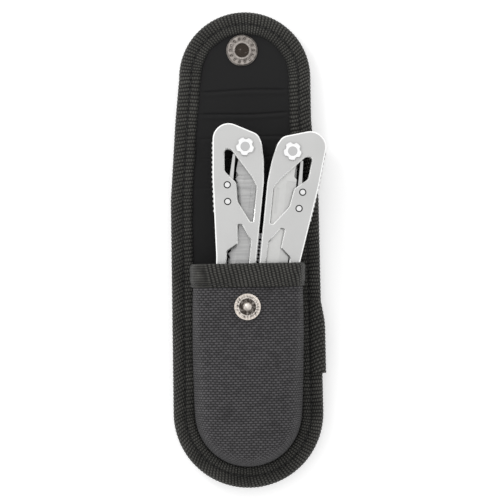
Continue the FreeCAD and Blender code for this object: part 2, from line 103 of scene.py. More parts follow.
RIB_PITCH = 1.5 * MM
RIB_HEIGHT = 0.22 * MM
BEAD_PITCH = 1.0 * MM
WEBBING_PITCH = 1.7 * MM

# The fold lies between these two lines; the sheets that cross it get closer rows there.
FOLD_START = (0, 40 * MM, 0)
FOLD_END = (0, 72 * MM, 0)

# ---------------------------------------------------------------- small helpers


def smooth(low, high, x):
    """0 below low, 1 above high and a smooth step between, for numbers or arrays."""
    t = np.clip((np.asarray(x, float) - low) / (high - low), 0, 1)
    return t * t * (3 - 2 * t)


def hump(x, centre, width):
    """1 at the centre, falling smoothly to 0 a few widths away."""
    return np.exp(-(((np.asarray(x, float) - centre) / width) ** 2))


def resampled(points, count, closed=False):
    """count points evenly spaced along a polyline, and how far along each one is."""
    points = np.asarray(points, float)
    if closed:
        points = np.vstack([points, points[:1]])
    along = np.concatenate([[0], np.cumsum(np.linalg.norm(np.diff(points, axis=0), axis=1))])
    stops = np.linspace(0, along[-1], count, endpoint=not closed)
    columns = [np.interp(stops, along, points[:, k]) for k in range(points.shape[1])]
    return np.stack(columns, axis=1), stops


def ease(points, times=1):
    """Moves each point between the ends of a line towards its neighbours."""
    for _ in range(times):
        points[1:-1] = (points[:-2] + 2 * points[1:-1] + points[2:]) / 4


def right_of(points):
    """Directions to the right of a line of flat points."""
    tangent = np.gradient(points, axis=0)
    out = np.stack([tangent[:, 1], -tangent[:, 0]], axis=1)
    return out / np.linalg.norm(out, axis=1)[:, None]


def add_mesh(name, vertices, faces, uvs=None):
    """A smooth-shaded mesh object. uvs holds one pair for each vertex."""
    mesh = bpy.data.meshes.new(name)
    mesh.from_pydata([tuple(v) for v in vertices], [], faces)
    mesh.validate()
    if uvs is not None:
        layer = mesh.uv_layers.new(name="UVMap")
        corner = np.zeros(len(mesh.loops), np.int32)
        mesh.loops.foreach_get("vertex_index", corner)
        layer.data.foreach_set("uv", np.asarray(uvs, np.float32)[corner].ravel())
    mesh.polygons.foreach_set("use_smooth", [True] * len(mesh.polygons))
    mesh.update()
    obj = bpy.data.objects.new(name, mesh)
    bpy.context.scene.collection.objects.link(obj)
    return obj


def grid_faces(rows, columns, wrap_rows=False, wrap_columns=False, flip=False):
    faces = []
    for i in range(rows if wrap_rows else rows - 1):
        for j in range(columns if wrap_columns else columns - 1):
            a = i * columns + j
            b = i * columns + (j + 1) % columns
            c = ((i + 1) % rows) * columns + (j + 1) % columns
            d = ((i + 1) % rows) * columns + j
            faces.append((a, d, c, b) if flip else (a, b, c, d))
    return faces


def add_modifier(obj, kind, **settings):
    modifier = obj.modifiers.new(kind.title(), kind)
    for name, value in settings.items():
        setattr(modifier, name, value)
    return modifier


def apply_modifiers(obj):
    evaluated = obj.evaluated_get(bpy.context.evaluated_depsgraph_get())
    mesh = bpy.data.meshes.new_from_object(evaluated)
    obj.modifiers.clear()
    obj.data = mesh


def paint(obj, material):
    obj.data.materials.clear()
    obj.data.materials.append(material)


# ---------------------------------------------------------------- materials


class Surface:
    """A procedural material, with short calls for the nodes that the materials below use."""

    def __init__(self, name):
        self.material = bpy.data.materials.new(name)
        self.material.use_nodes = True
        self.tree = self.material.node_tree
        self.shader = self.tree.nodes["Principled BSDF"]

    def node(self, kind, **settings):
        node = self.tree.nodes.new(kind)
        for name, value in settings.items():
            setattr(node, name, value)
        return node

    def link(self, value, socket):
        if isinstance(value, bpy.types.NodeSocket):
            self.tree.links.new(value, socket)
        else:
            socket.default_value = value

    def math(self, operation, *values):
        node = self.node("ShaderNodeMath", operation=operation)
        for value, socket in zip(values, node.inputs):
            self.link(value, socket)
        return node.outputs[0]

    def coords(self, output, scale=(1, 1, 1), turn=(0, 0, 0)):
        source = self.node("ShaderNodeTexCoord").outputs[output]
        mapping = self.node("ShaderNodeMapping")
        self.link(source, mapping.inputs["Vector"])
        self.link(scale, mapping.inputs["Scale"])
        self.link(turn, mapping.inputs["Rotation"])
        return mapping.outputs[0]

    def split(self, vector):
        node = self.node("ShaderNodeSeparateXYZ")
        self.link(vector, node.inputs[0])
        return node.outputs

    def noise(self, vector, scale, detail=2.0, roughness=0.5):
        node = self.node("ShaderNodeTexNoise")
        self.link(vector, node.inputs["Vector"])
        self.link(scale, node.inputs["Scale"])
        self.link(detail, node.inputs["Detail"])
        self.link(roughness, node.inputs["Roughness"])
        return node.outputs["Fac"]

    def remap(self, value, low, high, to_low, to_high):
        node = self.node("ShaderNodeMapRange", clamp=True)
        for number, socket in zip((value, low, high, to_low, to_high), node.inputs):
            self.link(number, socket)
        return node.outputs[0]

    def shaded(self, color, amount):
        """The colour times a number."""
        node = self.node("ShaderNodeVectorMath", operation="SCALE")
        self.link(color, node.inputs[0])
        self.link(amount, node.inputs["Scale"])
        return node.outputs[0]

    def height(self):
        """The point's height in the shared frame."""
        return self.split(self.node("ShaderNodeTexCoord").outputs["Object"])[2]

    def blend(self, factor, a, b):
        node = self.node("ShaderNodeMix", data_type="RGBA")
        self.link(factor, node.inputs[0])
        self.link((*a, 1) if isinstance(a, tuple) else a, node.inputs[6])
        self.link((*b, 1) if isinstance(b, tuple) else b, node.inputs[7])
        return node.outputs[2]

    def bump(self, height, distance, strength=1.0):
        node = self.node("ShaderNodeBump")
        self.link(height, node.inputs["Height"])
        self.link(distance, node.inputs["Distance"])
        self.link(strength, node.inputs["Strength"])
        return node.outputs[0]

    def finish(self, **sockets):
        names = {"color": "Base Color", "metallic": "Metallic", "roughness": "Roughness", "normal": "Normal",
                 "specular": "Specular IOR Level", "sheen": "Sheen Weight",
                 "sheen_roughness": "Sheen Roughness"}
        for key, value in sockets.items():
            value = (*value, 1) if isinstance(value, tuple) else value
            self.link(value, self.shader.inputs[names[key]])
        return self.material


def dash_weave(surface, u, v, dash_pitch, row_pitch):
    """Height, 0 to 1, of rows of short yarns, laid like bricks, and a random number for each yarn."""
    along = surface.math("DIVIDE", v, row_pitch)
    row = surface.math("FLOOR", along)
    y = surface.math("MULTIPLY", surface.math("SUBTRACT", surface.math("SUBTRACT", along, row), 0.5), 2.0)
    shift = surface.math("MULTIPLY", surface.math("FLOORED_MODULO", row, 2.0), 0.5)
    across = surface.math("ADD", surface.math("DIVIDE", u, dash_pitch), shift)
    dash = surface.math("FLOOR", across)
    x = surface.math("ABSOLUTE", surface.math("SUBTRACT", surface.math("SUBTRACT", across, dash), 0.5))
    cell = surface.node("ShaderNodeCombineXYZ")
    surface.link(dash, cell.inputs[0])
    surface.link(row, cell.inputs[1])
    chance = surface.node("ShaderNodeTexWhiteNoise", noise_dimensions="2D")
    surface.link(cell.outputs[0], chance.inputs["Vector"])
    round_yarn = surface.math("SUBTRACT", 1.0, surface.math("MULTIPLY", y, y))
    floating = surface.remap(x, 0.22, 0.46, 1.0, 0.0)
    full = surface.math("ADD", surface.math("MULTIPLY", floating, 0.8), 0.2)
    height = surface.math("MULTIPLY", round_yarn, full)
    return height, chance.outputs["Value"]


def ballistic_nylon(name, side_shade=1.0):
    """Coarse plain-woven nylon: rows of short yarns, painted lighter on their raised tops as a painted
    highlight, over a ground in painted shade, and painted shade lower down the pocket's sides.
    """
    s = Surface(name)
    uv = s.coords("UV")
    wander = s.noise(uv, 160.0, 2.0)
    u, v, _ = s.split(uv)
    u = s.math("ADD", u, s.math("MULTIPLY", s.math("SUBTRACT", wander, 0.5), 0.7 * MM))
    v = s.math("ADD", v, s.math("MULTIPLY", s.math("SUBTRACT", wander, 0.5), 0.6 * MM))
    height, chance = dash_weave(s, u, v, 1.87 * MM, 0.98 * MM)
    # Painted highlight and shade: the raised yarns are painted lighter by their height, and the ground
    # between them darker. Each yarn's lightness also differs at random.
    lit = s.math("MULTIPLY", height, s.math("ADD", s.math("MULTIPLY", chance, 0.5), 0.72))
    patches = s.remap(s.noise(s.coords("Object"), 120.0, 3.0), 0.3, 0.7, 0.82, 1.12)
    lit = s.math("MULTIPLY", lit, patches)
    color = s.blend(lit, (0.009, 0.0085, 0.009), (0.087, 0.0835, 0.088))
    # Painted shade: the cloth is painted darker lower down the pocket's sides.
    color = s.shaded(color, s.remap(s.height(), 13 * MM, 28.5 * MM, side_shade, 1.0))
    fibres = s.noise(s.coords("Object"), 5200.0, 2.0)
    relief = s.math("ADD", height, s.math("MULTIPLY", fibres, 0.25))
    return s.finish(color=color, roughness=s.remap(height, 0, 1, 0.85, 0.66), specular=0.28,
                    normal=s.bump(relief, 0.32 * MM, 0.9))


def ribbed_tape(name, rib_pitch, bead_pitch, dark, light, shaded_crease=None, side_shade=1.0):
    """Binding tape: cords that run across it, each a row of beads, painted light on their tops as a painted
    highlight and dark between them as painted shade, with painted shade in the crease where it is sewn and
    along its upper inner edge.
    """
    s = Surface(name)
    u, v, _ = s.split(s.coords("UV"))
    wander = s.math("SUBTRACT", s.noise(s.coords("Object"), 260.0, 2.0), 0.5)
    ribs = s.math("ADD", s.math("DIVIDE", v, rib_pitch), s.math("MULTIPLY", wander, 0.55))
    row = s.math("FLOOR", ribs)
    rib = s.math("SINE", s.math("MULTIPLY", s.math("SUBTRACT", ribs, row), math.pi))
    shifted = s.math("ADD", s.math("DIVIDE", u, bead_pitch), s.math("MULTIPLY", row, 0.5))
    bead = s.math("SINE", s.math("MULTIPLY", shifted, 2 * math.pi))
    bead = s.math("ADD", s.math("MULTIPLY", bead, 0.5), 0.5)
    cord = s.math("MULTIPLY", s.math("POWER", rib, 1.3), s.math("ADD", s.math("MULTIPLY", bead, 0.7), 0.3))
    patches = s.remap(s.noise(s.coords("Object"), 140.0, 3.0), 0.3, 0.7, 0.7, 1.15)
    # Painted highlight and shade: the cords' raised tops and beads are painted light, and the grooves between
    # them dark.
    lit = s.math("MULTIPLY", cord, patches)
    color = s.blend(lit, dark, light)
    if shaded_crease is not None:
        # Painted shade in the sewn crease and along the tape's upper inner edge.
        away = s.math("ABSOLUTE", s.math("SUBTRACT", u, shaded_crease))
        color = s.shaded(color, s.remap(away, 0.15 * MM, 0.75 * MM, 0.12, 1.0))
        color = s.shaded(color, s.remap(u, 0.2 * MM, 1.5 * MM, 0.25, 1.0))
    # Painted shade: the tape is painted darker lower down the pocket's sides.
    if side_shade < 1:
        color = s.shaded(color, s.remap(s.height(), 20 * MM, 29.5 * MM, side_shade, 1.0))
    fibres = s.noise(s.coords("Object"), 4200.0, 2.0)
    relief = s.math("ADD", cord, s.math("MULTIPLY", fibres, 0.3))
    return s.finish(color=color, roughness=s.remap(cord, 0, 1, 0.9, 0.62), specular=0.3, sheen=0.06,
                    sheen_roughness=0.5, normal=s.bump(relief, 0.38 * MM, 1.0))


def lining_cloth():
    """Fine coated cloth, almost black, with a faint mottle."""
    s = Surface("lining_cloth")
    u, v, _ = s.split(s.coords("UV"))
    height, _ = dash_weave(s, u, v, 0.6 * MM, 0.34 * MM)
    mottle = s.noise(s.coords("Object"), 90.0, 4.0, 0.6)
    color = s.blend(s.remap(mottle, 0.35, 0.7, 0, 1), (0.0050, 0.0050, 0.0053), (0.0092, 0.0091, 0.0094))
    relief = s.math("ADD", s.math("MULTIPLY", height, 0.35), s.math("MULTIPLY", mottle, 1.2))
    return s.finish(color=color, roughness=s.remap(mottle, 0.3, 0.7, 0.72, 0.86), specular=0.28,
                    sheen=0.05, sheen_roughness=0.6, normal=s.bump(relief, 0.14 * MM, 0.7))


def thread():
    s = Surface("thread")
    turns = s.noise(s.coords("Object"), 3500.0, 2.0)
    color = s.blend(turns, (0.010, 0.010, 0.010), (0.045, 0.045, 0.044))
    return s.finish(color=color, roughness=0.55, specular=0.35, normal=s.bump(turns, 0.08 * MM, 0.8))


def steel_normal(surface):
    """How far a face looks up or down out of the tool's plane: 1 on a plate's face, 0 on its edge."""
    return surface.math("ABSOLUTE", surface.split(surface.node("ShaderNodeTexCoord").outputs["Normal"])[2])


def blasted_steel():
    """Bead-blasted handle plates, with a painted highlight on the bevels, painted shade on the sideways edges
    and painted shade on the floor of the spacer pins' grooves.
    """
    s = Surface("blasted_steel")
    grain = s.noise(s.coords("Object"), 2600.0, 3.0, 0.7)
    cloud = s.noise(s.coords("Object"), 70.0, 3.0)
    facing = steel_normal(s)
    face = s.blend(s.remap(cloud, 0.3, 0.7, 0, 1), (0.56, 0.56, 0.555), (0.60, 0.60, 0.595))
    face = s.blend(s.remap(grain, 0.35, 0.65, 0, 0.25), face, (0.70, 0.70, 0.69))
    from_middle = s.math("ABSOLUTE", s.math("SUBTRACT", s.height(), TOOL_MIDDLE_Z))
    from_floor = s.math("ABSOLUTE", s.math("SUBTRACT", from_middle, PIN_GROOVE_FLOOR))
    # Painted shade: the floor of the spacer pins' grooves is painted near black.
    groove_shade = s.math("LESS_THAN", from_floor, 0.04 * MM)
    face = s.blend(groove_shade, face, (0.015, 0.015, 0.015))
    # Painted highlight: the bevels, half turned up, are painted near white.
    bevel_highlight = s.math("MULTIPLY", s.remap(facing, 0.3, 0.5, 0, 1), s.remap(facing, 0.86, 0.97, 1, 0))
    # Painted shade: the edges that face sideways are painted darker.
    edge = s.remap(facing, 0.2, 0.45, 1, 0)
    color = s.blend(bevel_highlight, face, (0.97, 0.97, 0.96))
    color = s.blend(edge, color, (0.40, 0.40, 0.40))
    roughness = s.math("SUBTRACT", s.remap(grain, 0.3, 0.7, 0.42, 0.52), s.math("MULTIPLY", bevel_highlight, 0.22))
    return s.finish(color=color, metallic=0.85, roughness=roughness, normal=s.bump(grain, 0.02 * MM, 0.5))


def polished_steel():
    s = Surface("polished_steel")
    wear = s.noise(s.coords("Object"), 900.0, 4.0, 0.65)
    color = s.blend(s.remap(wear, 0.4, 0.75, 0, 0.5), (0.86, 0.86, 0.86), (0.62, 0.62, 0.63))
    return s.finish(color=color, metallic=1.0, roughness=s.remap(wear, 0.3, 0.7, 0.16, 0.30),
                    normal=s.bump(wear, 0.01 * MM, 0.4))


def star_steel():
    """The star-headed caps: white lobes with painted shade on their flanks, round a greyer centre that stands
    a bit higher.
    """
    s = Surface("star_steel")
    grain = s.noise(s.coords("Object"), 1800.0, 3.0, 0.6)
    facing = steel_normal(s)
    lobes = s.blend(s.remap(grain, 0.35, 0.65, 0, 1), (0.93, 0.93, 0.93), (0.98, 0.98, 0.98))
    from_middle = s.math("ABSOLUTE", s.math("SUBTRACT", s.height(), TOOL_MIDDLE_Z))
    centre = s.math("GREATER_THAN", from_middle, STAR_LOBE_TOP)
    color = s.blend(centre, lobes, (0.56, 0.56, 0.56))
    # Painted shade: the flanks, which face sideways, are painted dark.
    color = s.blend(s.remap(facing, 0.35, 0.95, 1, 0), color, (0.16, 0.16, 0.16))
    return s.finish(color=color, metallic=0.85, roughness=s.remap(grain, 0.3, 0.7, 0.30, 0.42))


def brushed_steel(name, along, dark, light):
    """Ground steel with fine lines; along holds the lines' stretch, and they lie as the tool leans. Its
    sideways edges get painted shade.
    """
    s = Surface(name)
    lines = s.noise(s.coords("Object", along, (0, 0, TOOL_LEAN)), 900.0, 3.0, 0.7)
    cloud = s.noise(s.coords("Object"), 110.0, 2.0)
    facing = steel_normal(s)
    color = s.blend(s.remap(lines, 0.3, 0.7, 0, 1), dark, light)
    color = s.blend(s.remap(cloud, 0.35, 0.7, 0, 0.3), color, dark)
    # Painted shade: the edges that face sideways are painted darker.
    color = s.blend(s.remap(facing, 0.2, 0.6, 0.6, 0), color, (0.25, 0.25, 0.25))
    return s.finish(color=color, metallic=0.9, roughness=s.remap(lines, 0.3, 0.7, 0.30, 0.46),
                    normal=s.bump(lines, 0.02 * MM, 0.6))


def aged_nickel(name, high, wear):
    """Antique nickel: bright worn high points, brown-black hollows. wear is how much dark is rubbed away; a
    lower high colour and wear make a copy that stands in painted shade.
    """
    s = Surface(name)
    blotch = s.noise(s.coords("Object"), 700.0, 5.0, 0.7)
    fine = s.noise(s.coords("Object"), 2600.0, 3.0, 0.6)
    pointed = s.node("ShaderNodeNewGeometry").outputs["Pointiness"]
    raised = s.remap(pointed, 0.44, 0.56, -0.6, 0.55)
    patchy = s.remap(blotch, 0.35, 0.65, wear - 0.35, wear + 0.35)
    worn = s.math("ADD", raised, patchy)
    color = s.blend(s.math("MINIMUM", s.math("MAXIMUM", worn, 0.0), 1.0), (0.045, 0.036, 0.030), high)
    return s.finish(color=color, metallic=0.95, roughness=s.remap(fine, 0.3, 0.7, 0.22, 0.42),
                    normal=s.bump(s.math("ADD", fine, blotch), 0.04 * MM, 0.5))


# The tape's colours run from the painted shade between its cords to the painted highlight on their tops.
TAPE_DARK, TAPE_LIGHT = (0.0020, 0.0019, 0.0014), (0.094, 0.092, 0.083)
nylon = ballistic_nylon("ballistic_nylon")
# A copy of the nylon for the pocket, with painted shade lower down its sides.
side_shaded_nylon = ballistic_nylon("side_shaded_nylon", side_shade=0.42)
# The crease, where shade is painted, lies this far along the binding's section from its upper inner edge.
binding = ribbed_tape("binding_tape", RIB_PITCH, BEAD_PITCH, TAPE_DARK, TAPE_LIGHT, shaded_crease=4.5 * MM)
# The mouth tape's copy has painted shade lower down the pocket's sides.
mouth_binding = ribbed_tape("mouth_tape", RIB_PITCH, BEAD_PITCH, TAPE_DARK, TAPE_LIGHT, side_shade=0.4)
webbing = ribbed_tape("webbing", WEBBING_PITCH, 2.6 * MM, (0.0045, 0.0045, 0.0045), (0.050, 0.050, 0.050))
lining = lining_cloth()
sewing = thread()
handle_steel = blasted_steel()
bright_steel = polished_steel()
leaf_steel = brushed_steel("implement_steel", (0.05, 1, 1), (0.36, 0.36, 0.36), (0.58, 0.58, 0.575))
smooth_leaf_steel = brushed_steel("smooth_leaf_steel", (0.3, 0.3, 1), (0.60, 0.60, 0.59), (0.66, 0.66, 0.65))
jaw_steel = brushed_steel("plier_steel", (1, 0.06, 1), (0.36, 0.36, 0.37), (0.58, 0.58, 0.59))
star_cap_steel = star_steel()
# Two copies of one antique nickel, lit and shaded: the stud's copy is the brighter, lit one, and the socket's
# is painted darker as painted shade, with a dimmer high colour and less of its dark rubbed away.
lit_stud_nickel = aged_nickel("lit_stud_nickel", (0.80, 0.74, 0.68), 0.62)
shaded_socket_nickel = aged_nickel("shaded_socket_nickel", (0.46, 0.42, 0.39), 0.34)

# ---------------------------------------------------------------- pouch outline


def pouch_outline(count):
    """Points and outward normals evenly spaced round the pouch, anticlockwise from the middle of its foot."""
    quarter = np.linspace(0, math.pi / 2, 90)
    foot = [(FOOT_HALF * math.sin(a), FOOT_CENTRE_Y - FOOT_HALF * math.cos(a)) for a in quarter]
    right = foot + [SHOULDER, (FLAP_HALF, FLAP_START_Y)]
    left = [(-x, y) for x, y in reversed(right)][:-1]
    half_turn = np.linspace(0, math.pi, 180)
    top = [(FLAP_END_X + FLAP_END_R * math.cos(a), FLAP_END_Y + FLAP_END_R * math.sin(a)) for a in half_turn]
    fine, _ = resampled(right + top + left, 4000, closed=True)
    tangent = np.roll(fine, -1, axis=0) - np.roll(fine, 1, axis=0)
    normal = np.stack([tangent[:, 1], -tangent[:, 0]], axis=1)
    spread = 40
    kernel = np.hanning(2 * spread + 1)
    for k in range(2):
        wrapped = np.concatenate([normal[-spread:, k], normal[:, k], normal[:spread, k]])
        normal[:, k] = np.convolve(wrapped, kernel / kernel.sum(), mode="valid")
    normal /= np.linalg.norm(normal, axis=1)[:, None]
    closed = np.vstack([fine, fine[:1]])
    along = np.concatenate([[0], np.cumsum(np.linalg.norm(np.diff(closed, axis=0), axis=1))])
    stops = np.linspace(0, along[-1], count, endpoint=False)
    points = np.stack([np.interp(stops, along, closed[:, k]) for k in range(2)], axis=1)
    looped = np.vstack([normal, normal[:1]])
    normals = np.stack([np.interp(stops, along, looped[:, k]) for k in range(2)], axis=1)
    return points, normals, stops, along[-1]


def edge_x(side, y, inset):
    """The pouch's edge at y on one side, -1 or 1, measured inset from it."""
    y = np.asarray(y, float)
    end = FLAP_END_R + side * FLAP_END_X
    levels = [FOOT_CENTRE_Y, SHOULDER[1], FLAP_START_Y, FLAP_END_Y]
    straight = np.interp(y, levels, [FOOT_HALF, SHOULDER[0], FLAP_HALF, end]) - inset
    foot = np.sqrt(np.maximum((FOOT_HALF - inset) ** 2 - np.minimum(y - FOOT_CENTRE_Y, 0) ** 2, 0))
    top = np.sqrt(np.maximum((FLAP_END_R - inset) ** 2 - np.maximum(y - FLAP_END_Y, 0) ** 2, 0))
    half = np.where(y < FOOT_CENTRE_Y, foot, np.where(y > FLAP_END_Y, top + side * FLAP_END_X, straight))
    return side * half


def edge_distance(x, y, inset):
    """How far a point lies from the nearer side of the pouch, measured inset from its edge."""
    return np.minimum(x - edge_x(-1, y, inset), edge_x(1, y, inset) - x)


# ---------------------------------------------------------------- edge binding

SAMPLES_PER_RIB = 5
SEAM_INSET = 4.8 * MM
# The tape's cross-section from its upper inner edge, over the pouch's edge, to its lower inner edge:
# (inset, z), in mm.
TAPE_PROFILE = [
    (8.7, 9.35), (8.45, 9.95), (7.6, 10.25), (6.4, 10.3), (5.3, 10.15), (4.8, 9.75),
    (4.3, 10.15), (3.3, 10.5), (1.9, 10.45), (0.7, 10.0), (0.05, 9.1), (0.0, 8.2),
    (0.15, 7.2), (1.0, 6.5), (2.6, 6.3), (5.4, 6.3), (8.2, 6.45), (8.6, 6.75),
]


def tape_profile(lift=0.0, count=46):
    """Points of the section, their outward directions, and how far along it each one is."""
    rough = np.array([(inset * MM, z * MM + lift) for inset, z in TAPE_PROFILE])
    points, along = resampled(rough, count)
    ease(points, 2)
    out = right_of(points)
    if out[len(out) // 3][1] < 0:
        out = -out
    return points, out, along


# How far the tape's outer half slipped as it was sewn, in mm, at these parts of the way round from the foot's
# middle.
SLIP_AT = [0, 0.07, 0.20, 0.30, 0.40, 0.47, 0.53, 0.62, 0.72, 0.85, 0.95, 1]
SLIP = [-1.2, -0.3, 0.0, -0.9, -2.4, -0.6, -0.3, -0.8, -2.0, -2.8, -2.2, -1.2]
OVERLAP_SLIP = -2.4


def rib_slant(turn, inset, slip=None):
    """How far the cords are moved along the tape's outer half and, less, along its inner half."""
    pull = (np.interp(turn / (2 * math.pi), SLIP_AT, SLIP) if slip is None else slip) * MM
    outer = np.clip((SEAM_INSET - inset) / SEAM_INSET, 0, 1)
    inner = np.clip((inset - SEAM_INSET) / SEAM_INSET, 0, 1)
    return pull * (outer - 0.25 * inner)


def swept_tape(start=None, end=None, lift=None, bulge=None, slip=None):
    """Vertices, uvs and grid size of the binding, between two distances round the pouch or all round it."""
    length = pouch_outline(8)[3]
    ribs = round(length / RIB_PITCH)
    pitch = length / ribs
    points, normals, stops, _ = pouch_outline(ribs * SAMPLES_PER_RIB)
    if start is not None:
        chosen = (stops >= start) & (stops <= end)
        points, normals, stops = points[chosen], normals[chosen], stops[chosen]
    profile, out, along = tape_profile()
    inset = profile[:, 0]
    rise = lift(stops) if lift else np.zeros(len(stops))
    swell = bulge(stops) if bulge else np.zeros(len(stops))
    vertices = []
    uvs = []
    for k, (point, normal, stop) in enumerate(zip(points, normals, stops)):
        turn = stop / length * 2 * math.pi
        phase = stop + rib_slant(turn, inset, slip)
        rib = np.abs(np.sin(phase / pitch * math.pi)) ** 0.7
        wave = (0.10 * math.sin(23 * turn) + 0.07 * math.sin(41 * turn + 1)) * MM
        moved = profile + out * (RIB_HEIGHT * (rib - 0.55) + wave * smooth(0, 3 * MM, inset))[:, None]
        outer = np.clip(1 - inset / (3 * MM), 0, 1)
        above = smooth(7.5 * MM, 9.3 * MM, moved[:, 1])
        across = swell[k] * outer - moved[:, 0]
        place = [point[0] + normal[0] * across, point[1] + normal[1] * across, moved[:, 1] + rise[k] * above]
        vertices.append(np.stack(place, axis=1))
        uvs.append(np.stack([along, phase], axis=1))
    return np.vstack(vertices), np.vstack(uvs), len(vertices), len(profile)


def edge_binding():
    vertices, uvs, rows, columns = swept_tape()
    faces = grid_faces(rows, columns, wrap_rows=True, wrap_columns=True)
    return add_mesh("edge_binding", vertices, faces, uvs)


def overlap_tape():
    """The tape's end, lapped over its start on the right side and cut square."""
    foot_quarter = FOOT_HALF * math.pi / 2
    start = foot_quarter + overlap_low.y - FOOT_CENTRE_Y
    end = foot_quarter + overlap_high.y - FOOT_CENTRE_Y
    fade = 14 * MM

    def lift(stops):
        return 1.15 * MM - 1.9 * MM * smooth(end - fade, end, stops)

    def bulge(stops):
        return 1.5 * MM - 2.1 * MM * smooth(end - 1.2 * fade, end, stops)

    vertices, uvs, rows, columns = swept_tape(start, end, lift, bulge, OVERLAP_SLIP)
    faces = grid_faces(rows, columns, wrap_columns=True)
    faces.append(tuple(range(columns)))
    faces.append(tuple(reversed(range((rows - 1) * columns, rows * columns))))
    return add_mesh("overlap_tape", vertices, faces, uvs)


# ---------------------------------------------------------------- lining and back pad

LINING_INSET = 7.6 * MM
# Sewn folds across the flap's lining: (y, depth), in mm.
CREASES = [(63.9, 0.55), (54.5, 0.55), (45.2, 0.22), (37.0, 0.18), (25.5, 0.12)]


def row_stops(low, high, coarse, bands):
    """Values from low to high, coarse apart, and closer together inside the bands (from, to, step)."""
    stops = [low]
    while stops[-1] < high - 0.05 * MM:
        step = min([coarse] + [fine for first, last, fine in bands if first <= stops[-1] <= last])
        stops.append(min(stops[-1] + step, high))
    return np.array(stops)


COARSE_ROWS = 1.8 * MM
FOLD_ROWS = 0.8 * MM
END_ROWS = 0.3 * MM


def cut_sheet(name, inset, top, bottom, bands, columns=44):
    """A closed sheet between the heights top(x, y) and bottom(x, y), cut to the pouch's outline."""
    end = 3 * MM
    low = FOOT_CENTRE_Y - FOOT_HALF + inset + 0.02 * MM
    high = FLAP_END_Y + FLAP_END_R - inset - 0.02 * MM
    ends = [(low, low + end, END_ROWS), (high - end, high, END_ROWS)]
    rows_y = row_stops(low, high, COARSE_ROWS, bands + ends)
    left = edge_x(-1, rows_y, inset)
    widths = edge_x(1, rows_y, inset) - left
    widest = math.pi / 2 * 0.9
    across = np.sin(np.linspace(-1, 1, columns) * widest) / math.sin(widest)
    x = left[:, None] + widths[:, None] * (across[None, :] + 1) / 2
    y = np.repeat(rows_y[:, None], columns, axis=1)
    upper = np.stack([x, y, top(x, y)], axis=2).reshape(-1, 3)
    lower = np.stack([x, y, bottom(x, y)], axis=2).reshape(-1, 3)
    rows = len(rows_y)
    total = rows * columns
    faces = grid_faces(rows, columns)
    faces += [tuple(total + i for i in reversed(face)) for face in faces]
    for i in range(rows - 1):
        a, b = i * columns, (i + 1) * columns
        faces.append((a, b, b + total, a + total))
        a, b = a + columns - 1, b + columns - 1
        faces.append((b, a, a + total, b + total))
    for j in range(columns - 1):
        faces.append((j + 1, j, j + total, j + 1 + total))
        k = (rows - 1) * columns + j
        faces.append((k, k + 1, k + 1 + total, k + total))
    flat = np.stack([x, y], axis=2).reshape(-1, 2)
    area = float(np.sum((widths[1:] + widths[:-1]) / 2 * np.diff(rows_y)))
    return add_mesh(name, np.vstack([upper, lower]), faces, np.vstack([flat, flat])), area


def lining_sheet():
    def top(x, y):
        z = np.full_like(y, lining_high.z - 0.1 * MM)
        z += 0.25 * MM * np.sin(y / (5.1 * MM)) * np.sin(x / (9 * MM) + 1) * smooth(20 * MM, 45 * MM, y)
        reach = smooth(0, 3 * MM, edge_distance(x, y, 9 * MM))
        for centre, depth in CREASES:
            line = centre * MM + 0.012 * x + 0.25 * MM * np.sin(x / (6 * MM) + centre)
            z -= depth * MM * hump(y, line, 0.42 * MM) * (0.25 + 0.75 * reach)
            z += 0.45 * depth * MM * hump(y, line - 1.3 * MM, 0.9 * MM) * reach
        return z

    bands = [(centre * MM - 3 * MM, centre * MM + 2 * MM, 0.22 * MM) for centre, _ in CREASES]
    bands.append((FOLD_START[1], FOLD_END[1], FOLD_ROWS))
    return cut_sheet("lining_sheet", LINING_INSET, top, lambda x, y: np.full_like(y, lining_low.z), bands)


def back_pad():
    """The padded back, slightly quilted on its outer face."""
    def bottom(x, y):
        swell = 0.22 * MM * np.cos(x / (7 * MM)) * np.cos(y / (11 * MM))
        edge = smooth(0, 6 * MM, edge_distance(x, y, 1 * MM))
        return panel_low.z + 0.05 * MM - swell * edge

    pad, _ = cut_sheet("back_pad", 1.0 * MM, lambda x, y: np.full_like(y, panel_high.z - 0.02 * MM), bottom,
                       [(FOLD_START[1], FOLD_END[1], FOLD_ROWS)])
    return pad


# ---------------------------------------------------------------- pocket

# The cloth stands a little inside the CAD pocket's sides, which leaves a dark groove beside the binding.
GROOVE = 1.1 * MM
POCKET_FOOT = FOOT_CENTRE_Y - pocket_low.y - GROOVE
POCKET_MOUTH = {-1: POCKET_FOOT, 1: pocket_high.x - 0.5 * MM}
MOUTH_Y = pocket_high.y
POCKET_BASE = TAPE_TOP - 0.9 * MM
POCKET_TOP = pocket_high.z
CLOTH_THICK = 1.2 * MM
WALL_RINGS = 22
FLAT_RINGS = 13


def pocket_half(side, y):
    return np.interp(y, [FOOT_CENTRE_Y, MOUTH_Y], [POCKET_FOOT, POCKET_MOUTH[side]])


def pocket_round(side, y):
    """How far in the pocket's rounding reaches, and how square it is, on one side at y."""
    down = float(np.clip((MOUTH_Y - y) / (MOUTH_Y - FOOT_CENTRE_Y), 0, 1))
    reach_at_mouth, square_at_mouth = (5.2 * MM, 3.4) if side < 0 else (5.6 * MM, 4.4)
    reach = reach_at_mouth + (8.5 * MM - reach_at_mouth) * float(smooth(0, 1, down))
    square = square_at_mouth + (2.5 - square_at_mouth) * float(smooth(0.2, 0.95, down))
    return reach, square


